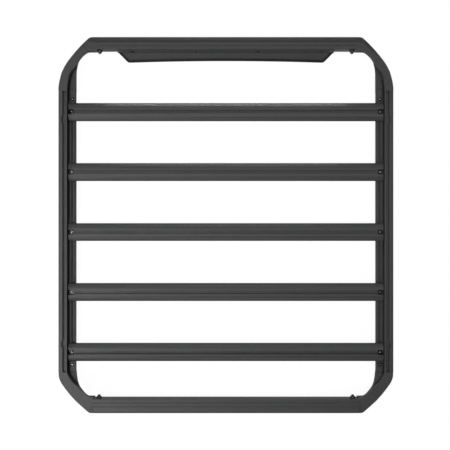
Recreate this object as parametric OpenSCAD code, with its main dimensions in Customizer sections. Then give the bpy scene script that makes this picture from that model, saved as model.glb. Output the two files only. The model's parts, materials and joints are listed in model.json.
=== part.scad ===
/* [Overall] */
// Overall width, across the outer faces of the side rails
rack_w = 1330; // [1300:1:1360]
// Overall length, front nose to rear edge
rack_l = 1500; // [1480:1:1520]
// Height of the side rails and cross bars
rail_h = 50; // [48:1:56]
// How far the deflector hangs below the underside of the rails
deflector_drop = 40; // [36:1:44]
// Depth from the rail tops down to the ledge that carries the slats
ledge_depth = 34; // [32:1:36]

/* [Slats] */
// Width of a slat
slat_w = 71; // [66:1:76]
// Height of a slat
slat_h = 24; // [23:0.5:25]
// Distance between slat centres
slat_pitch = 240; // [236:1:242]
// Gap between a slat's end and the rail wall
slat_end_gap = 3; // [2:0.5:4]

/* [Slots] */
// Opening of the accessory slots in rails and slats
slot_open = 13.5; // [12:0.5:14]
// Opening of the slot in the ledge
ledge_slot_open = 9; // [8.5:0.5:10]

/* [Wind deflector] */
// Width of the deflector plate along its top
deflector_w = 870; // [840:2:880]
// Thickness of the deflector plate
deflector_t = 3; // [2:0.5:3]
// Rise of the lower edge at the middle
deflector_arch = 6; // [3:0.5:8]
// Width of the rubber edge trim
trim_w = 8; // [6:0.5:9]

/* [Hidden] */
$fn = 48;

// Levels: z = 0 is the lowest edge of the deflector trim
z_bot = deflector_drop;
z_top = z_bot + rail_h;
z_ledge = z_top - ledge_depth;
hw = rack_w / 2;
hl = rack_l / 2;

// Side rails run between the corner castings
rail_front = 531;
rail_rear = -587;
rail_in = hw - 34;      // inner face of the upper band
rail_rec = hw - 25;     // wall of the recess under that band
trench_x = hw - 35.7;   // inner side of the groove behind the ledge
ledge_in = hw - 63;     // inner edge of the ledge
lip_z = z_top - 16;     // underside of the upper band
slot_c = hw - 22.75;    // centre of the top slot
ledge_slot_c = hw - 49.5; // centre of the ledge slot
under_c = hw - 13;      // centre of the underside slot

// Cross bars
fbar_half = 512;
rbar_half = 527;
fbar_in = hl - 53;
rbar_in = -(hl - 56);
bar_bolt_x_f = 504;
bar_bolt_x_r = 507;
bar_bolt_z = z_bot + 26;

// Slats
slat_c0 = -30;          // centre of the middle slat
slat_y = [for (i = [0:4]) slat_c0 + (2 - i) * slat_pitch];
slat_half = rail_in - slat_end_gap;
notch_c = ledge_slot_c - 5;

// Tongues of the castings over the ledge, and their bolts
tongue_f = 487;
tongue_r = -548;
tongue_bolt_f = 501.8;
tongue_bolt_r = -560.3;

black = [0.09, 0.09, 0.095];
dark = [0.13, 0.13, 0.135];
rubber = [0.04, 0.04, 0.04];
steel = [0.2, 0.2, 0.21];

// ---- helpers ----------------------------------------------------------

module flip_x(on) { if (on) mirror([1, 0, 0]) children(); else children(); }

// Extrusion along Y of a section drawn in X, Z
module along_y(y0, y1) { translate([0, y1, 0]) rotate([90, 0, 0]) linear_extrude(height = y1 - y0) children(); }

// Extrusion along X of a section drawn in Y, Z
module along_x(x0, x1) { translate([x0, 0, 0]) rotate([90, 0, 90]) linear_extrude(height = x1 - x0) children(); }

// Unit normal at each point of an open path, to the left of its direction
function unit(v) = v / norm(v);
function path_normal(p, i) =
  let (a = p[max(i - 1, 0)], b = p[min(i + 1, len(p) - 1)], d = unit(b - a)) [-d[1], d[0]];
function shift_path(p, t) = [for (i = [0:len(p) - 1]) p[i] + t * path_normal(p, i)];
function rev(p) = [for (i = [len(p) - 1:-1:0]) p[i]];
function sub_path(p, a, b) = [for (i = [a:b]) p[i]];

// Closed band between an outer and an inner path of equal point count, given
// as [outer, inner, z] for each level from the bottom up; cw says which way
// the paths turn
module band_loft(levels, cw) {
  n = len(levels[0][0]);
  m = len(levels);
  pts = [for (l = levels) for (q = concat(l[0], l[1])) [q[0], q[1], l[2]]];
  function o(k, i) = k * 2 * n + i;
  function q(k, i) = k * 2 * n + n + i;
  faces = concat(
    [for (k = [0:m - 2]) for (i = [0:n - 2]) each [
      [o(k, i), o(k + 1, i + 1), o(k, i + 1)], [o(k, i), o(k + 1, i), o(k + 1, i + 1)],
      [q(k, i), q(k, i + 1), q(k + 1, i + 1)], [q(k, i), q(k + 1, i + 1), q(k + 1, i)]]],
    [for (k = [0:m - 2]) each [
      [o(k, 0), q(k, 0), q(k + 1, 0)], [o(k, 0), q(k + 1, 0), o(k + 1, 0)],
      [o(k, n - 1), q(k + 1, n - 1), q(k, n - 1)], [o(k, n - 1), o(k + 1, n - 1), q(k + 1, n - 1)]]],
    [for (i = [0:n - 2]) each [
      [o(0, i), o(0, i + 1), q(0, i + 1)], [o(0, i), q(0, i + 1), q(0, i)],
      [o(m - 1, i), q(m - 1, i + 1), o(m - 1, i + 1)], [o(m - 1, i), q(m - 1, i), q(m - 1, i + 1)]]]);
  polyhedron(points = pts, faces = cw ? [for (f = faces) rev(f)] : faces);
}

// ---- side rails -------------------------------------------------------

// Section of the right rail in X, Z: box with a slot on top, a ledge with a
// slot on its inner side and a slot in the underside
module rail_section() {
  so = slot_open / 2;
  lo = ledge_slot_open / 2;
  zt = z_top;
  zl = z_ledge;
  zb = z_bot;
  difference() {
    polygon([
      [ledge_in, zb + 3], [ledge_in, zl - 1], [ledge_in + 1, zl],
      [ledge_in + 4.5, zl], [ledge_in + 5.6, zl - 1.1], [ledge_in + 6.7, zl],
      [ledge_slot_c - lo, zl], [ledge_slot_c - lo, zl - 3], [ledge_slot_c - 9, zl - 3],
      [ledge_slot_c - 9, zb + 3.5], [ledge_slot_c + 9, zb + 3.5], [ledge_slot_c + 9, zl - 3],
      [ledge_slot_c + lo, zl - 3], [ledge_slot_c + lo, zl],
      [trench_x - 0.5, zl], [trench_x, zl - 0.5], [trench_x, zb + 5], [rail_rec, zb + 5],
      [rail_rec, lip_z], [rail_in + 0.8, lip_z], [rail_in, lip_z + 0.8], [rail_in, zt - 1.2], [rail_in + 1.2, zt],
      [slot_c - so, zt], [slot_c - so, zt - 2.5], [rail_in + 2.8, zt - 2.5], [rail_in + 2.8, zt - 13],
      [slot_c + 11.5, zt - 13], [slot_c + 11.5, zt - 2.5], [slot_c + so, zt - 2.5], [slot_c + so, zt],
      [hw - 1.8, zt], [hw - 0.5, zt - 0.5], [hw, zt - 1.8],
      [hw, zb + 2.4], [hw - 0.7, zb + 0.7], [hw - 2.4, zb],
      [under_c + 6.5, zb], [under_c + 6.5, zb + 2.5], [under_c + 10, zb + 2.5], [under_c + 10, zb + 12],
      [under_c - 10, zb + 12], [under_c - 10, zb + 2.5], [under_c - 6.5, zb + 2.5], [under_c - 6.5, zb],
      [ledge_in + 3, zb]
    ]);
    // closed chambers
    translate([rail_rec + 3, zb + 15]) square([18.5, 19]);
    translate([slot_c + 14.5, zt - 13]) square([5.2, 10]);
  }
}

module side_rail(left) {
  color(black) flip_x(left) difference() {
    along_y(rail_rear, rail_front) rail_section();
    // entry notches that let a bolt head drop into the top slot
    for (yc = [slat_c0 + 446.3, slat_c0 - 446.3])
      translate([0, 0, z_top - 3.5]) linear_extrude(height = 5)
        polygon([
          [slot_c - slot_open / 2 - 0.1, yc - 12], [slot_c + slot_open / 2 - 0.1, yc - 14.5],
          [slot_c + slot_open / 2 + 4.4, yc - 10], [slot_c + slot_open / 2 + 4.4, yc + 10],
          [slot_c + slot_open / 2 - 0.1, yc + 14.5], [slot_c - slot_open / 2 - 0.1, yc + 12],
          [slot_c - slot_open / 2 - 2, yc + 10], [slot_c - slot_open / 2 - 2, yc - 10]
        ]);
  }
}

// ---- cross bars -------------------------------------------------------

// Share of the nose width taken off at height z: none at the foot of the
// nose, all of it at the crease on top
nose_foot = z_top - 24;
nose_w = 25;
function nose(z) = z <= nose_foot ? 0 : pow((z - nose_foot) / (z_top - nose_foot), 1.8);
// The same share on the bar, whose nose is scooped: steep under the crease,
// nearly level at its outer lip
nose_steps = [0, 1.5, 2.8, 3.6, 4.8, 7, 11.3, 18, 24];
function scoop(z) = lookup(z - nose_foot,
  [[0, 0], [1.5, 0.01], [2.8, 0.05], [3.6, 0.12], [4.8, 0.26], [7, 0.45], [11.3, 0.66], [18, 0.86], [24, 1]]);

// Groove along the crease, in Y, Z
crease_groove = [[hl - 25.4, z_top], [hl - 24.6, z_top - 2.3], [hl - 23.8, z_top - 0.9]];

module front_bar() {
  y0 = fbar_in;
  color(black) difference() {
    along_x(-fbar_half, fbar_half) difference() {
      polygon(concat(
        [[y0, z_bot], [y0, z_top - 1.5], [y0 + 1.5, z_top],
         [y0 + 12.8, z_top], [y0 + 14, z_top - 1.2], [y0 + 15.2, z_top]],
        crease_groove,
        [for (k = [7:-1:0]) let (z = nose_foot + nose_steps[k]) [hl - nose_w * scoop(z), z]],
        [[hl, z_bot + 15], [hl - 1.6, z_bot + 9], [hl - 5, z_bot + 4.6], [hl - 10, z_bot + 1.6], [hl - 17, z_bot]]
      ));
      translate([y0 + 3, z_bot + 3]) square([20, rail_h - 6]);
      polygon([
        [y0 + 26, z_bot + 3], [y0 + 36, z_bot + 3], [hl - 10, z_bot + 5.2], [hl - 5.2, z_bot + 9.5],
        [hl - 3.2, z_bot + 15.5], [hl - 3.2, nose_foot - 2.6], [hl - 4.6, nose_foot - 1],
        [hl - 10, nose_foot + 1.8], [hl - 15.5, nose_foot + 5.6], [hl - 20.5, nose_foot + 12], [hl - 24.6, nose_foot + 20.6], [y0 + 26, nose_foot + 20.6]
      ]);
    }
    for (s = [-1, 1]) translate([s * bar_bolt_x_f, y0 - 1, bar_bolt_z]) rotate([-90, 0, 0]) cylinder(r = 4.3, h = 5);
    for (x = deflector_bolt_x) translate([x, y0 - 1, deflector_bolt_z]) rotate([-90, 0, 0]) cylinder(r = 3.3, h = 5);
  }
}

module rear_bar() {
  y0 = rbar_in;
  function groove(c) = [[c + 1.2, z_top], [c, z_top - 1.2], [c - 1.2, z_top]];
  color(black) difference() {
    along_x(-rbar_half, rbar_half) difference() {
      polygon(concat(
        [[y0, z_bot], [y0, z_top - 1.5], [y0 - 1.5, z_top]],
        groove(y0 - 14.3), groove(y0 - 29.6),
        [[-hl + 6.4, z_top], [-hl, z_top - 5.5], [-hl, z_bot + 3], [-hl + 3, z_bot]]
      ));
      translate([y0 - 25, z_bot + 3]) square([22, rail_h - 6]);
      polygon([
        [y0 - 28, z_bot + 3], [-hl + 4.2, z_bot + 3], [-hl + 3, z_bot + 4.2],
        [-hl + 3, z_top - 7], [-hl + 7.5, z_top - 3], [y0 - 28, z_top - 3]
      ]);
    }
    for (s = [-1, 1]) translate([s * bar_bolt_x_r, y0 + 1, bar_bolt_z]) rotate([90, 0, 0]) cylinder(r = 4.3, h = 5);
  }
}

// ---- corner castings --------------------------------------------------

// Outline of the front casting at its foot, rail end first
front_out = [
  [hw, 531], [hw - 0.1, 545], [hw - 1.7, 560], [hw - 4, 574.6], [hw - 7.4, 592], [hw - 11.5, 609.6],
  [645.7, 630.2], [637, 645.5], [627, 659.7], [614.5, 675.8], [600.7, 692.6], [586.5, 708.5],
  [570.6, 725], [559, 736.2], [549, 745.2], [542, 748.9], [534, hl], [fbar_half, hl]];
// The crease between its top face and its outer slope
front_crease = [
  [hw, 531], [hw - 0.2, 545], [hw - 2.1, 560], [hw - 4.9, 574.2], [hw - 9.2, 591], [hw - 14.4, 608],
  [640, 626], [629.2, 639.5], [617.5, 653], [603.5, 667.2], [588, 682.4], [572.5, 696.8],
  [556.5, 711.8], [550, 718.4], [545.4, hl - 25.5], [541, hl - 24.8], [533, hl - 24.7], [fbar_half, hl - 25]];
// Inner edge of its top face
front_band = [
  [rail_in, 531], [630.4, 545], [629, 560], [627, 574], [624.2, 589], [620.5, 600.5],
  [614.5, 611], [606.5, 621.5], [598, 633.3], [588, 647], [577, 661.5], [567, 674.5],
  [558.5, 684], [551, 689.8], [544.5, 692.7], [539, 693.5], [533, 693.6], [fbar_half, 693.6]];
// How far the wall below that edge is set back, and the wall
front_back = [9, 9, 9, 9, 9, 9, 9, 9, 9, 9, 8.7, 8, 7, 5.4, 3.6, 2, 0.8, 0];
front_wall = [for (i = [0:17]) front_band[i] - front_back[i] * path_normal(front_band, i)];
// Inner edge of the lower flange
front_flange = [
  [ledge_in, 531], [ledge_in, 605], [601, 620], [598.6, 634], [595.8, 646], [593.4, 654], [589.6, 662.5],
  [583.3, 670.3], [575, 678.4], [566, 686.3], [557, 692], [549, 693.6], [fbar_half, 693.6]];

rear_out = [
  [hw, -587], [hw, -596], [hw - 0.8, -606], [hw - 3.5, -616], [hw - 9.4, -629.5], [639.3, -652.6],
  [619.7, -677.6], [598.6, -700.7], [575.6, -721.9], [550.5, -744], [545.5, -747.6], [539.5, -749.6],
  [532, -hl], [rbar_half, -hl]];
rear_crease = [
  [hw - 1, -587], [hw - 1.2, -596], [hw - 2.4, -605.6], [hw - 5.6, -615.2], [hw - 11.8, -628.2], [636.7, -650.8],
  [617, -675.4], [595.8, -698.2], [572.7, -719], [548.2, -739.6], [544, -742.2], [539, -743.5],
  [532, -hl + 6.4], [rbar_half, -hl + 6.4]];
rear_band = [
  [rail_in, -587], [629, -594.5], [624.5, -604], [619, -613], [610.3, -625.3], [603, -633], [596, -639.6],
  [576.5, -657.4], [559.1, -673.3], [553, -679], [547, -684], [540.5, -687.8], [534, -689.4], [rbar_half, -689.6]];
rear_back = [9, 9, 9, 9, 9, 9, 9, 8.7, 8, 6.6, 4.8, 2.8, 1, 0];
rear_wall = [for (i = [0:13]) rear_band[i] + rear_back[i] * path_normal(rear_band, i)];
rear_flange = [
  [ledge_in, -587], [601, -596], [599.5, -612], [596.4, -630], [591.8, -645], [586, -655.5], [579, -664.8],
  [571.5, -674], [564.8, -681], [558, -686.6], [552, -689.1], [546, -689.6], [rbar_half, -689.6]];

function mix_path(a, b, f) = [for (i = [0:len(a) - 1]) a[i] * (1 - f) + b[i] * f];
// Outline of the front casting at height z: its slope turns into the bar's
// scooped nose at its last three points
front_scoop = [0, 0, 0, 0, 0, 0, 0, 0, 0, 0, 0, 0, 0, 0, 0.25, 1, 1, 1];
function front_at(z) = [for (i = [0:17])
  let (f = nose(z) * (1 - front_scoop[i]) + scoop(z) * front_scoop[i]) front_out[i] * (1 - f) + front_crease[i] * f];

module front_body() {
  // top band, with the outer slope
  band_loft([for (z = [lip_z, nose_foot + 11.3, lip_z + 6.5, nose_foot + 18, lip_z + 13, z_top])
    [front_at(z), front_band, z]], false);
  // wall under the band
  band_loft([for (z = concat([z_ledge], [for (k = [0:5]) nose_foot + nose_steps[k]], [lip_z]))
    [front_at(z), front_wall, z]], false);
  translate([0, 0, z_bot]) linear_extrude(height = z_ledge - z_bot)
    polygon(concat(front_out, rev(front_flange)));
}

module rear_body() {
  band_loft([for (zf = [[z_top - 6, 0], [z_top - 4, 0.15], [z_top - 2, 0.45], [z_top, 1]])
    [mix_path(rear_out, rear_crease, zf[1]), rear_band, zf[0]]], true);
  translate([0, 0, lip_z]) linear_extrude(height = z_top - 6 - lip_z) polygon(concat(rear_out, rev(rear_band)));
  translate([0, 0, z_ledge]) linear_extrude(height = lip_z - z_ledge) polygon(concat(rear_out, rev(rear_wall)));
  translate([0, 0, z_bot]) linear_extrude(height = z_ledge - z_bot) polygon(concat(rear_out, rev(rear_flange)));
}

// The rail's groove behind the ledge, run on into the casting's flange
module flange_groove(y0, y1, y2) {
  translate([0, 0, z_bot + 5]) linear_extrude(height = z_ledge - z_bot - 4.5)
    polygon([[trench_x, y0], [rail_rec - 1, y0], [rail_rec - 1, y1], [rail_rec - 7, y2], [trench_x - 4, y2], [trench_x - 1, y1]]);
}

// Pocket in the underside between two paths
module pocket(a, b, h) {
  translate([0, 0, z_bot - 1]) linear_extrude(height = h + 1) polygon(concat(a, rev(b)));
}

// Tongue over the rail ledge, plate in the top slot and spigot in the rail
module rail_tongues(y_seam, y_step, y_end, y_plate, y_spigot) {
  lo = min(y_step, y_end);
  s = y_end > y_step ? 1 : -1;
  r = 9;
  x0 = ledge_in + 1;
  x1 = ledge_in + 23;
  difference() {
    translate([0, 0, z_ledge]) linear_extrude(height = 4) {
      polygon([[x0, y_step], [x1, y_step], [x1, y_end - s * r], [x0, y_end - s * r]]);
      polygon(concat(
        [for (k = [0:8]) let (a = k * 90 / 8) [x1 - r + r * cos(a), y_end - s * r + s * r * sin(a)]],
        [for (k = [0:8]) let (a = 90 + k * 90 / 8) [x0 + r + r * cos(a), y_end - s * r + s * r * sin(a)]]));
    }
    translate([ledge_slot_c, s > 0 ? tongue_bolt_r : tongue_bolt_f, z_ledge - 1]) cylinder(r = 4.3, h = 6);
  }
  // plate lying in the top slot
  translate([slot_c - 6, min(y_seam, y_plate), z_top - 13]) cube([12, abs(y_plate - y_seam), 2]);
  // spigot in the rail's closed chamber
  translate([rail_rec + 3.5, min(y_seam, y_spigot), z_bot + 15.5]) cube([17.5, abs(y_spigot - y_seam), 18]);
}

module corner_front(left) {
  color(dark) flip_x(left) {
    difference() {
      front_body();
      for (r = [[1, 5, 38], [6, 9, 38], [10, 16, 28]])
        pocket(shift_path(sub_path(front_out, r[0], r[1]), 12), shift_path(sub_path(front_wall, r[0], r[1]), -5), r[2]);
      flange_groove(rail_front - 1, 562, 580);
      // crease groove run on from the bar, and the seam in front of the tongue
      along_x(fbar_half - 1, 541)
        polygon([[hl - 25.4, z_top + 0.1], [hl - 24.6, z_top - 2.3], [hl - 23.6, z_top + 0.1]]);
      translate([ledge_in - 1, 541.5, z_ledge - 2]) cube([29, 1.5, 3]);
    }
    rail_tongues(rail_front, 541.5, tongue_f, 489, rail_front - 30);
    // spigot in the front bar
    difference() {
      translate([fbar_half - 24, fbar_in + 3.5, z_bot + 14]) cube([24, 18, 24]);
      translate([bar_bolt_x_f, fbar_in + 2, bar_bolt_z]) rotate([-90, 0, 0]) cylinder(r = 4.1, h = 16);
    }
  }
}

module corner_rear(left) {
  color(dark) flip_x(left) {
    difference() {
      rear_body();
      for (r = [[1, 5], [6, 12]])
        pocket(shift_path(sub_path(rear_out, r[0], r[1]), -8), shift_path(sub_path(rear_wall, r[0], r[1]), 5), 43);
      flange_groove(rail_rear + 1, -594, -600);
      // seam behind the tongue
      translate([ledge_in - 1, -590.5, z_ledge - 2]) cube([29, 1.5, 3]);
    }
    rail_tongues(rail_rear, -589, tongue_r, -544, rail_rear + 30);
    // spigot in the rear bar
    difference() {
      translate([rbar_half - 30, rbar_in - 23.5, z_bot + 14]) cube([30, 20, 24]);
      translate([bar_bolt_x_r, rbar_in - 2, bar_bolt_z]) rotate([90, 0, 0]) cylinder(r = 4.1, h = 16);
    }
  }
}

// ---- slats ------------------------------------------------------------

module slat_section() {
  w = slat_w / 2;
  so = slot_open / 2;
  h = slat_h;
  difference() {
    polygon([
      [-w + 0.8, 0], [-4.5, 0], [-4.5, 2.2], [-8.5, 2.2], [-8.5, 8.2], [8.5, 8.2], [8.5, 2.2], [4.5, 2.2], [4.5, 0],
      [w - 0.8, 0], [w, 0.8], [w, h - 9.6], [w - 0.8, h - 8.2], [w - 12.6, h - 0.8], [w - 14.2, h],
      [so, h], [so, h - 2.5], [10.5, h - 2.5], [10.5, h - 13], [-10.5, h - 13], [-10.5, h - 2.5], [-so, h - 2.5], [-so, h],
      [-w + 14.2, h], [-w + 12.6, h - 0.8], [-w + 0.8, h - 8.2], [-w, h - 9.6], [-w, 0.8]
    ]);
    for (s = [-1, 1]) polygon([
      [s * 13.3, 2.6], [s * (w - 2.8), 2.6], [s * (w - 2.8), h - 10.8], [s * (w - 13.8), h - 3.4], [s * 13.3, h - 3.4]]);
  }
}

module slat(i) {
  color(dark) translate([0, slat_y[i], z_ledge]) difference() {
    along_x(-slat_half, slat_half) slat_section();
    for (s = [-1, 1]) {
      translate([s * notch_c, 0, slat_h - 13]) cylinder(r = 10.5, h = 14);
      translate([s > 0 ? notch_c : -slat_half - 1, -10.5, slat_h - 13]) cube([slat_half - notch_c + 1, 21, 14]);
      // the end face is open under the notch
      translate([s > 0 ? slat_half - 5 : -slat_half - 1, -10.5, -1]) cube([6, 21, slat_h + 2]);
      translate([s * ledge_slot_c, 0, 7]) cylinder(r = 4.3, h = 6);
    }
  }
}

// ---- bolts and nuts ---------------------------------------------------

// Button head on a flange, its shank below z = 0
module button_bolt(rf, tf, rh, hh, rs, ls, hex) {
  difference() {
    rotate_extrude() polygon(concat(
      [[0, -ls], [rs, -ls], [rs, 0], [rf, 0], [rf, tf * 0.6], [rf - 0.6, tf]],
      [for (k = [0:6]) let (a = k * 75 / 6) [rh * (0.3 + 0.7 * cos(a)), tf + hh * sin(a) / sin(75)]],
      [[0, tf + hh]]));
    translate([0, 0, tf + hh - 2.8]) cylinder(d = hex / cos(30), h = 4, $fn = 6);
  }
}

module slat_bolts(i) {
  color(steel) for (s = [-1, 1])
    translate([s * ledge_slot_c, slat_y[i], z_ledge + slat_h - 13])
      button_bolt(8.8, 1.8, 7, 4, 4, slat_h - 13 + 10, 5);
}

module corner_bolts(left, y_tongue, x_bar, y_bar, s) {
  color(steel) flip_x(left) {
    translate([ledge_slot_c, y_tongue, z_ledge + 4]) button_bolt(8.2, 1.2, 7, 4, 4, 14, 5);
    translate([x_bar, y_bar, bar_bolt_z]) rotate([s * 90, 0, 0]) button_bolt(10.3, 7.5, 6.8, 7, 4, 16, 6);
  }
}

deflector_bolt_x = [-378, -126, 126, 378];
deflector_bolt_z = z_bot + 18;

module deflector_bolts() {
  color(steel) for (x = deflector_bolt_x)
    translate([x, fbar_in - deflector_t, deflector_bolt_z]) rotate([90, 0, 0]) button_bolt(9, 1.4, 7, 4, 3, 14, 4);
}

// Square nuts in the ledge slot, under the slat bolts and tongue bolts
module channel_nuts(left) {
  color(steel) flip_x(left)
    for (y = concat(slat_y, [tongue_bolt_f, tongue_bolt_r]))
      translate([ledge_slot_c, y, z_ledge - 9.8]) difference() {
        translate([-8.2, -10, 0]) cube([16.4, 20, 6.6]);
        translate([0, 0, -1]) cylinder(r = 4.1, h = 9);
      }
}

// ---- wind deflector ---------------------------------------------------

bend_z = z_bot - 7;
foot_y = hl - 84;

// Section of the plate in Y, Z, grown by g on both faces
module deflector_section(g, z_hi) {
  t = deflector_t;
  y1 = fbar_in;
  d = unit([foot_y - (y1 - t / 2), -bend_z]);
  n = [-d[1], d[0]];
  c = [y1 - t / 2, bend_z];
  e = c + d * (norm([foot_y - (y1 - t / 2), bend_z]) + 6);
  h = t / 2 + g;
  // mitre point on each face of the bend
  k = tan(atan2(-d[0], -d[1]) / 2);
  polygon([
    [c[0] - h, z_hi], [c[0] - h, c[1] + h * k], e - n * h, e + n * h, [c[0] + h, c[1] - h * k], [c[0] + h, z_hi]]);
}

// Right half of the lower outline in X, Z, from the bar down to the middle
dh = deflector_w / 2;
function outline_half() = concat(
  [[dh, z_bot], [dh - 32, 6.6], [dh - 34.6, 4.3], [dh - 37.6, 2.8], [dh - 41, 1.9], [dh - 45, 1.5]],
  [for (k = [1:11]) let (x = (dh - 45) * (1 - k / 11)) [x, 1.5 + deflector_arch * (1 - pow(x / (dh - 45), 2))]]);
function mirror_path(p) = [for (i = [len(p) - 2:-1:0]) [-p[i][0], p[i][1]]];
function outline_full(t) = let (h = shift_path(outline_half(), t), m = [for (i = [0:len(h) - 1]) i == len(h) - 1 ? [0, h[i][1]] : h[i]])
  concat(m, mirror_path(m));

module wind_deflector() {
  color(dark) difference() {
    intersection() {
      along_x(-dh, dh) deflector_section(0, z_bot + 32);
      along_y(foot_y - 40, fbar_in + 20)
        polygon(concat([[-dh, z_bot + 33], [dh, z_bot + 33]], outline_full(0)));
    }
    for (x = deflector_bolt_x) translate([x, fbar_in + 1, deflector_bolt_z]) rotate([90, 0, 0]) cylinder(r = 3.3, h = 6);
  }
}

module deflector_trim() {
  o = outline_full(1.5);
  i = outline_full(-trim_w * 0.78);
  color(rubber) difference() {
    intersection() {
      along_x(-dh - 5, dh + 5) deflector_section(2, z_bot - 1);
      along_y(foot_y - 40, fbar_in + 20) polygon(concat(o, rev(i)));
    }
    intersection() {
      along_x(-dh - 5, dh + 5) deflector_section(0, z_bot + 32);
      along_y(foot_y - 41, fbar_in + 21) polygon(concat([[-dh, z_bot + 33], [dh, z_bot + 33]], outline_full(0)));
    }
  }
}

side_rail(true);  // side_rail_left
side_rail(false);  // side_rail_right
front_bar();
rear_bar();
corner_front(true);  // corner_front_left
corner_front(false);  // corner_front_right
corner_rear(true);  // corner_rear_left
corner_rear(false);  // corner_rear_right
slat(0);  // slat_1
slat(1);  // slat_2
slat(2);  // slat_3
slat(3);  // slat_4
slat(4);  // slat_5
wind_deflector();
deflector_trim();
deflector_bolts();
slat_bolts(0);  // slat_bolts_1
slat_bolts(1);  // slat_bolts_2
slat_bolts(2);  // slat_bolts_3
slat_bolts(3);  // slat_bolts_4
slat_bolts(4);  // slat_bolts_5
corner_bolts(true, tongue_bolt_f, bar_bolt_x_f, fbar_in, 1);  // corner_bolts_front_left
corner_bolts(false, tongue_bolt_f, bar_bolt_x_f, fbar_in, 1);  // corner_bolts_front_right
corner_bolts(true, tongue_bolt_r, bar_bolt_x_r, rbar_in, -1);  // corner_bolts_rear_left
corner_bolts(false, tongue_bolt_r, bar_bolt_x_r, rbar_in, -1);  // corner_bolts_rear_right
channel_nuts(true);  // channel_nuts_left
channel_nuts(false);  // channel_nuts_right
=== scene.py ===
import json
import math

import bpy
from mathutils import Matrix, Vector

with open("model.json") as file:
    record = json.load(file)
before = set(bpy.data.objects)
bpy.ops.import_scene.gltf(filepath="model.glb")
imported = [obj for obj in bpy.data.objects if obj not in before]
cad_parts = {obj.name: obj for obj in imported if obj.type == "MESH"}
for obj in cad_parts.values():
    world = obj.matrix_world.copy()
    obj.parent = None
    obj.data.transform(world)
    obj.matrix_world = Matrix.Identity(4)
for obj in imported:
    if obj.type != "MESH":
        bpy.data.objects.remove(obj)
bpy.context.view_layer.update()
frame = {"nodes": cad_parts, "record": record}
nodes = frame["nodes"]
scene = bpy.context.scene


# ---------------------------------------------------------------- materials

def tree(name):
    mat = bpy.data.materials.new(name)
    mat.use_nodes = True
    nt = mat.node_tree
    nt.nodes.clear()
    out = nt.nodes.new("ShaderNodeOutputMaterial")
    bsdf = nt.nodes.new("ShaderNodeBsdfPrincipled")
    nt.links.new(bsdf.outputs["BSDF"], out.inputs["Surface"])
    return mat, nt, bsdf


def noise(nt, coord, scale, detail=2.0, rough=0.5, stretch=None):
    src = coord
    if stretch:
        mp = nt.nodes.new("ShaderNodeMapping")
        mp.inputs["Scale"].default_value = stretch
        nt.links.new(coord, mp.inputs["Vector"])
        src = mp.outputs["Vector"]
    n = nt.nodes.new("ShaderNodeTexNoise")
    n.inputs["Scale"].default_value = scale
    n.inputs["Detail"].default_value = detail
    n.inputs["Roughness"].default_value = rough
    nt.links.new(src, n.inputs["Vector"])
    return n.outputs["Fac"]


def ranged(nt, fac, lo, hi, a=0.3, b=0.7):
    m = nt.nodes.new("ShaderNodeMapRange")
    m.inputs["From Min"].default_value = a
    m.inputs["From Max"].default_value = b
    m.inputs["To Min"].default_value = lo
    m.inputs["To Max"].default_value = hi
    nt.links.new(fac, m.inputs["Value"])
    return m.outputs["Result"]


def ramp(nt, fac, stops):
    r = nt.nodes.new("ShaderNodeValToRGB")
    while len(r.color_ramp.elements) < len(stops):
        r.color_ramp.elements.new(0.5)
    for e, (p, c) in zip(r.color_ramp.elements, stops):
        e.position = p
        e.color = (*c, 1)
    nt.links.new(fac, r.inputs["Fac"])
    return r.outputs["Color"]


def mix(nt, fac, a, b):
    m = nt.nodes.new("ShaderNodeMix")
    m.data_type = "RGBA"
    for value, socket in ((fac, m.inputs[0]), (a, m.inputs[6]), (b, m.inputs[7])):
        if isinstance(value, bpy.types.NodeSocket):
            nt.links.new(value, socket)
        elif isinstance(value, float):
            socket.default_value = value
        else:
            socket.default_value = (*value, 1)
    return m.outputs[2]


def math_node(nt, op, a, b=None, clamp=False):
    m = nt.nodes.new("ShaderNodeMath")
    m.operation = op
    m.use_clamp = clamp
    for value, socket in ((a, m.inputs[0]), (b, m.inputs[1])):
        if isinstance(value, bpy.types.NodeSocket):
            nt.links.new(value, socket)
        elif value is not None:
            socket.default_value = value
    return m.outputs[0]


def bumped(nt, bsdf, height, strength, distance, normal=None):
    b = nt.nodes.new("ShaderNodeBump")
    b.inputs["Strength"].default_value = strength
    b.inputs["Distance"].default_value = distance
    nt.links.new(height, b.inputs["Height"])
    if normal is not None:
        nt.links.new(normal, b.inputs["Normal"])
    nt.links.new(b.outputs["Normal"], bsdf.inputs["Normal"])
    return b


def edges(nt, radius):
    """0 on open faces, towards 1 on sharp outer edges, and the rounded normal."""
    bev = nt.nodes.new("ShaderNodeBevel")
    bev.samples = 6
    bev.inputs["Radius"].default_value = radius
    geo = nt.nodes.new("ShaderNodeNewGeometry")
    dot = nt.nodes.new("ShaderNodeVectorMath")
    dot.operation = "DOT_PRODUCT"
    nt.links.new(bev.outputs["Normal"], dot.inputs[0])
    nt.links.new(geo.outputs["Normal"], dot.inputs[1])
    mask = ranged(nt, dot.outputs["Value"], 1.0, 0.0, 0.8, 0.995)
    return mask, bev.outputs["Normal"]


def openness(nt, distance, lo=0.3, hi=0.62):
    """0 deep in a slot, groove or seam, 1 on open faces."""
    ao = nt.nodes.new("ShaderNodeAmbientOcclusion")
    ao.samples = 8
    ao.inputs["Distance"].default_value = distance
    return ranged(nt, ao.outputs["AO"], 0.0, 1.0, lo, hi)


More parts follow.
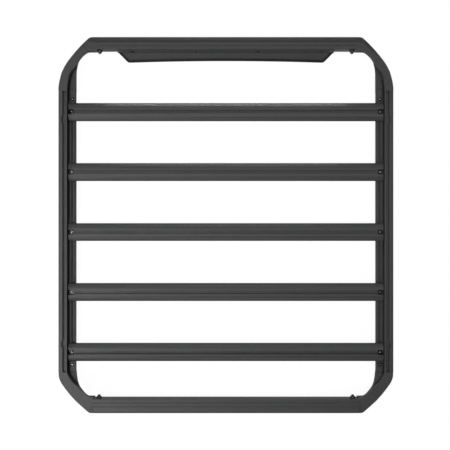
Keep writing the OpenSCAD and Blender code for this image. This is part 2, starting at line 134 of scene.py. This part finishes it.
def powder(name, base, rough, grain, grain_depth, edge_lift, spec=0.5):
    """Powder coat: a fine orange-peel grain, soft patches of gloss, a painted highlight on the sharp edges broken up
    in patches like wear, a little dust, and painted shade deep in grooves and slots.
    """
    mat, nt, bsdf = tree(name)
    co = nt.nodes.new("ShaderNodeTexCoord").outputs["Object"]
    patch = noise(nt, co, 6.0, 3.0, 0.55)
    cloud = noise(nt, co, 38.0, 3.0, 0.6)
    speck = noise(nt, co, 2100.0, 1.0, 0.5)
    peel = noise(nt, co, grain, 2.5, 0.55)
    dark = tuple(c * 0.92 for c in base)
    light = tuple(c * 1.1 for c in base)
    colour = ramp(nt, patch, [(0.3, dark), (0.7, light)])
    colour = mix(nt, ranged(nt, cloud, 0.0, 0.25, 0.45, 0.75), colour, tuple(c * 1.18 for c in base))
    colour = mix(nt, ranged(nt, speck, 0.0, 0.5, 0.6, 0.8), colour, tuple(c * 1.7 + 0.004 for c in base))
    mask, soft_normal = edges(nt, 0.0007)
    # painted highlight: the sharp outer edges are lightened in noisy patches, like wear
    edge_lightening = math_node(nt, "MULTIPLY", mask, ranged(nt, noise(nt, co, 120.0, 3.0, 0.7), 0.4, 1.0, 0.35, 0.65))
    edge_lightening = math_node(nt, "MULTIPLY", edge_lightening, edge_lift)
    colour = mix(nt, edge_lightening, colour, tuple(c * 3.2 + 0.02 for c in base))
    # painted shade in grooves, slots and seams: where ambient occlusion is deep the coat colour is darkened towards a
    # tenth of itself, and the roughness is raised there
    painted_shade_openness = openness(nt, 0.011)
    colour = mix(nt, painted_shade_openness, tuple(c * 0.1 for c in base), colour)
    nt.links.new(colour, bsdf.inputs["Base Color"])
    r = ranged(nt, cloud, rough - 0.03, rough + 0.03, 0.3, 0.7)
    r = math_node(nt, "ADD", r, ranged(nt, painted_shade_openness, 0.3, 0.0, 0.0, 1.0))
    r2 = ranged(nt, patch, -0.03, 0.04, 0.3, 0.7)
    nt.links.new(math_node(nt, "ADD", r, r2, True), bsdf.inputs["Roughness"])
    bsdf.inputs["Specular IOR Level"].default_value = spec
    bsdf.inputs["Metallic"].default_value = 0.0
    bumped(nt, bsdf, peel, 0.35, grain_depth, soft_normal)
    return mat


def steel(name, base, rough):
    """Black-finished steel: turning marks, small scuffs, bare metal on the edges, and a pale metal socket floor that
    is a painted highlight.
    """
    mat, nt, bsdf = tree(name)
    co = nt.nodes.new("ShaderNodeTexCoord").outputs["Object"]
    blotch = noise(nt, co, 260.0, 3.0, 0.6)
    scuff = noise(nt, co, 900.0, 2.0, 0.7, (1.0, 0.25, 1.0))
    colour = ramp(nt, blotch, [(0.3, tuple(c * 0.7 for c in base)), (0.7, tuple(c * 1.4 for c in base))])
    mask, soft_normal = edges(nt, 0.0004)
    edge_lightening = math_node(nt, "MULTIPLY", mask, ranged(nt, scuff, 0.0, 0.6, 0.45, 0.7))
    colour = mix(nt, edge_lightening, colour, tuple(c * 4.0 + 0.03 for c in base))
    # painted highlight: the deep, upward-facing floor of the socket is made pale grey metal, so the head shows a
    # bright dot
    level = nt.nodes.new("ShaderNodeSeparateXYZ")
    nt.links.new(nt.nodes.new("ShaderNodeNewGeometry").outputs["Normal"], level.inputs[0])
    shut = math_node(nt, "SUBTRACT", 1.0, openness(nt, 0.006, 0.25, 0.5))
    floor = math_node(nt, "MULTIPLY", shut, ranged(nt, level.outputs["Z"], 0.0, 1.0, 0.8, 0.95))
    colour = mix(nt, floor, colour, (0.5, 0.5, 0.51))
    nt.links.new(colour, bsdf.inputs["Base Color"])
    r = ranged(nt, scuff, rough - 0.06, rough + 0.08, 0.3, 0.7)
    nt.links.new(math_node(nt, "ADD", r, math_node(nt, "MULTIPLY", floor, 0.16)), bsdf.inputs["Roughness"])
    nt.links.new(math_node(nt, "MAXIMUM", math_node(nt, "MULTIPLY", edge_lightening, 0.8), floor), bsdf.inputs["Metallic"])
    bumped(nt, bsdf, scuff, 0.2, 0.00005, soft_normal)
    return mat


def edge_rubber(name, base, rough):
    """Extruded rubber: matte, with faint lines along its length and a bloom of pale dust."""
    mat, nt, bsdf = tree(name)
    co = nt.nodes.new("ShaderNodeTexCoord").outputs["Object"]
    lines = noise(nt, co, 500.0, 2.0, 0.5, (0.02, 1.0, 1.0))
    dust = noise(nt, co, 70.0, 4.0, 0.65)
    fine = noise(nt, co, 1500.0, 2.0, 0.5)
    colour = ramp(nt, lines, [(0.3, tuple(c * 0.8 for c in base)), (0.7, tuple(c * 1.25 for c in base))])
    colour = mix(nt, ranged(nt, dust, 0.0, 0.25, 0.5, 0.75), colour, tuple(c * 2.0 + 0.01 for c in base))
    nt.links.new(colour, bsdf.inputs["Base Color"])
    nt.links.new(ranged(nt, dust, rough - 0.06, rough + 0.08, 0.3, 0.7), bsdf.inputs["Roughness"])
    bsdf.inputs["Specular IOR Level"].default_value = 0.35
    height = math_node(nt, "ADD", lines, math_node(nt, "MULTIPLY", fine, 0.5))
    bumped(nt, bsdf, height, 0.3, 0.0001)
    return mat


looks = {
    "powder_coat": powder("powder_coat_black", (0.036, 0.0365, 0.0385), 0.45, 1500.0, 0.00012, 0.35),
    "casting_coat": powder("casting_coat_black", (0.035, 0.0355, 0.0375), 0.48, 900.0, 0.0002, 0.4),
    "black_fastener": steel("black_fastener_steel", (0.005, 0.005, 0.0052), 0.17),
    "edge_rubber": edge_rubber("edge_rubber_black", (0.011, 0.011, 0.0115), 0.66),
}


# ---------------------------------------------------------------- smooth shading

def smoothing():
    """Joins the tessellation's vertices and shades every edge under 32 degrees smooth."""
    ng = bpy.data.node_groups.new("smooth_by_edge", "GeometryNodeTree")
    ng.interface.new_socket("Geometry", in_out="INPUT", socket_type="NodeSocketGeometry")
    ng.interface.new_socket("Geometry", in_out="OUTPUT", socket_type="NodeSocketGeometry")
    gi = ng.nodes.new("NodeGroupInput")
    go = ng.nodes.new("NodeGroupOutput")
    weld = ng.nodes.new("GeometryNodeMergeByDistance")
    weld.inputs["Distance"].default_value = 0.00001
    drop = ng.nodes.new("GeometryNodeRemoveAttribute")
    drop.inputs["Name"].default_value = "custom_normal"
    faces = ng.nodes.new("GeometryNodeSetShadeSmooth")
    faces.domain = "FACE"
    faces.inputs["Shade Smooth"].default_value = True
    sharp = ng.nodes.new("GeometryNodeSetShadeSmooth")
    sharp.domain = "EDGE"
    sharp.inputs["Shade Smooth"].default_value = False
    angle = ng.nodes.new("GeometryNodeInputMeshEdgeAngle")
    over = ng.nodes.new("FunctionNodeCompare")
    over.data_type = "FLOAT"
    over.operation = "GREATER_THAN"
    over.inputs["B"].default_value = math.radians(32)
    link = ng.links.new
    link(gi.outputs[0], weld.inputs["Geometry"])
    link(weld.outputs["Geometry"], drop.inputs["Geometry"])
    link(drop.outputs["Geometry"], faces.inputs["Geometry"])
    link(faces.outputs["Geometry"], sharp.inputs["Geometry"])
    link(angle.outputs["Unsigned Angle"], over.inputs["A"])
    link(over.outputs["Result"], sharp.inputs["Selection"])
    link(sharp.outputs["Geometry"], go.inputs[0])
    return ng


SMOOTH = smoothing()
slot_of = {s["node"]: s["material_slot"] for s in frame["record"]["subparts"]}
for name, o in nodes.items():
    mat = looks[slot_of[name]]
    for i in range(len(o.material_slots)):
        o.material_slots[i].material = mat
    m = o.modifiers.new("smooth_by_edge", "NODES")
    m.node_group = SMOOTH


# ---------------------------------------------------------------- stage

def stage_piece(name, verts, faces):
    """Seen by the camera only; the light that a pale floor gives the object comes from the lower half of the world."""
    me = bpy.data.meshes.new(name)
    me.from_pydata(verts, [], faces)
    o = bpy.data.objects.new(name, me)
    scene.collection.objects.link(o)
    o.visible_diffuse = False
    o.visible_glossy = False
    return o


def floor_plane():
    s = 30.0
    o = stage_piece("studio_floor", [(-s, -s, 0), (s, -s, 0), (s, s, 0), (-s, s, 0)], [(0, 1, 2, 3)])
    mat = bpy.data.materials.new("studio_floor_white")
    mat.use_nodes = True
    nt = mat.node_tree
    nt.nodes.clear()
    out = nt.nodes.new("ShaderNodeOutputMaterial")
    dif = nt.nodes.new("ShaderNodeBsdfDiffuse")
    dif.inputs["Color"].default_value = (0.13, 0.13, 0.13, 1)
    em = nt.nodes.new("ShaderNodeEmission")
    em.inputs["Color"].default_value = (1, 1, 1, 1)
    em.inputs["Strength"].default_value = FLOOR_GLOW
    add = nt.nodes.new("ShaderNodeAddShader")
    nt.links.new(dif.outputs[0], add.inputs[0])
    nt.links.new(em.outputs[0], add.inputs[1])
    clear = nt.nodes.new("ShaderNodeBsdfTransparent")
    geo = nt.nodes.new("ShaderNodeNewGeometry")
    sides = nt.nodes.new("ShaderNodeMixShader")
    nt.links.new(geo.outputs["Backfacing"], sides.inputs[0])
    nt.links.new(add.outputs[0], sides.inputs[1])
    nt.links.new(clear.outputs[0], sides.inputs[2])
    nt.links.new(sides.outputs[0], out.inputs["Surface"])
    o.data.materials.append(mat)
    return o


def backdrop():
    """A pale dome round the floor, so that level views end in white too."""
    r, rows, cols = 29.0, 12, 48
    verts, faces = [], []
    for i in range(rows + 1):
        e = math.radians(-6 + 94 * i / rows)
        for j in range(cols):
            a = 2 * math.pi * j / cols
            verts.append((r * math.cos(e) * math.cos(a), r * math.cos(e) * math.sin(a), r * math.sin(e)))
    for i in range(rows):
        for j in range(cols):
            k = (j + 1) % cols
            faces.append((i * cols + j, (i + 1) * cols + j, (i + 1) * cols + k, i * cols + k))
    faces.append(tuple(rows * cols + j for j in range(cols)))
    o = stage_piece("studio_backdrop", verts, faces)
    o.visible_shadow = False
    mat = bpy.data.materials.new("studio_backdrop_white")
    mat.use_nodes = True
    nt = mat.node_tree
    nt.nodes.clear()
    out = nt.nodes.new("ShaderNodeOutputMaterial")
    em = nt.nodes.new("ShaderNodeEmission")
    em.inputs["Color"].default_value = (1, 1, 1, 1)
    em.inputs["Strength"].default_value = 1.0
    nt.links.new(em.outputs[0], out.inputs["Surface"])
    o.data.materials.append(mat)
    return o


FLOOR_GLOW = 0.93
GROUND_LIGHT = 0.06
SKY_LIGHT = 0.0

floor_plane()
backdrop()

world = bpy.data.worlds.new("studio_world")
scene.world = world
world.use_nodes = True
wn = world.node_tree
wn.nodes.clear()
wout = wn.nodes.new("ShaderNodeOutputWorld")
wbg = wn.nodes.new("ShaderNodeBackground")
wbg.inputs["Color"].default_value = (0.98, 0.99, 1.0, 1)
wco = wn.nodes.new("ShaderNodeTexCoord")
wxyz = wn.nodes.new("ShaderNodeSeparateXYZ")
wn.links.new(wco.outputs["Generated"], wxyz.inputs[0])
wn.links.new(ranged(wn, wxyz.outputs["Z"], GROUND_LIGHT, SKY_LIGHT, -0.03, 0.03), wbg.inputs["Strength"])
wn.links.new(wbg.outputs[0], wout.inputs["Surface"])


def softbox(name, at, to, size, watts, spread=180.0, colour=(1, 1, 1)):
    d = bpy.data.lights.new(name, "AREA")
    d.shape = "RECTANGLE"
    d.size, d.size_y = size
    d.energy = watts
    d.color = colour
    d.spread = math.radians(spread)
    o = bpy.data.objects.new(name, d)
    o.location = at
    o.rotation_euler = (Vector(to) - Vector(at)).to_track_quat("-Z", "Y").to_euler()
    o.visible_camera = False
    scene.collection.objects.link(o)
    return o


def tent(azimuth, elevation, watts):
    """One 1.3 m square panel of a light tent 3.4 m across the object's middle; azimuth from +X towards +Y."""
    a, e, r = math.radians(azimuth), math.radians(elevation), 3.4
    at = (r * math.cos(e) * math.cos(a), r * math.cos(e) * math.sin(a), r * math.sin(e))
    return softbox(f"tent_{azimuth}_{elevation}", at, (0.0, 0.0, 0.08), (1.3, 1.3), watts)


def distant(name, azimuth, zenith, strength, angle):
    """A far studio lamp, given by the direction it shines from."""
    d = bpy.data.lights.new(name, "SUN")
    d.energy = strength
    d.angle = math.radians(angle)
    o = bpy.data.objects.new(name, d)
    a, z = math.radians(azimuth), math.radians(zenith)
    o.rotation_euler = Vector((math.sin(z) * math.cos(a), math.sin(z) * math.sin(a), math.cos(z))).to_track_quat("Z", "Y").to_euler()
    scene.collection.objects.link(o)
    return o


def ground_card(name, y0, y1, watts):
    """Light thrown up by a stretch of the pale floor."""
    return softbox(name, (0.0, (y0 + y1) / 2, 0.003), (0.0, (y0 + y1) / 2, 1.0), (2.4, y1 - y0), watts)


distant("key_a", 225, 12, 0.345, 10)
distant("key_b", 180, 12, 0.215, 10)
distant("rear_low", 270, 68, 0.34, 16)
distant("right_high", 0, 45, 0.31, 16)
distant("front_low", 90, 68, 0.25, 16)
distant("front_mid", 90, 60, 0.12, 16)
distant("left_front_low", 135, 75, 0.19, 16)
for azimuth, elevation, watts in (
    (225, 38, 34.9), (180, 65, 7.0), (0, 65, 5.8), (45, 65, 5.7), (90, 38, 6.3), (90, 65, 2.6),
    (180, 14, 11.1), (270, 14, 2.5), (0, 90, 2.8),
):
    tent(azimuth, elevation, watts)
softbox("near_left", (-1.5, 0.0, 0.6), (-0.3, 0.0, 0.08), (1.6, 0.5), 5.8)
softbox("front_strip", (0.0, 0.66, 0.097), (0.0, 0.45, 0.08), (1.0, 0.012), 0.42, 110.0)
ground_card("ground_front", 0.5, 1.7, 3.3)
ground_card("ground_mid_rear", -0.5, 0.0, 1.6)
ground_card("ground_rear", -1.7, -0.5, 3.2)

# ---------------------------------------------------------------- camera

cam_data = bpy.data.cameras.new("camera")
cam_data.sensor_width = 36.0
cam_data.lens = 60.47
cam_data.clip_start = 0.05
cam_data.clip_end = 100.0
cam = bpy.data.objects.new("camera", cam_data)
cam.location = (-0.00356, -0.0018, 3.090)
cam.rotation_euler = (0.0, 0.0, 0.0)
scene.collection.objects.link(cam)
scene.camera = cam

scene.view_settings.view_transform = "Standard"
scene.view_settings.look = "None"
scene.view_settings.exposure = 0.0
scene.view_settings.gamma = 1.0
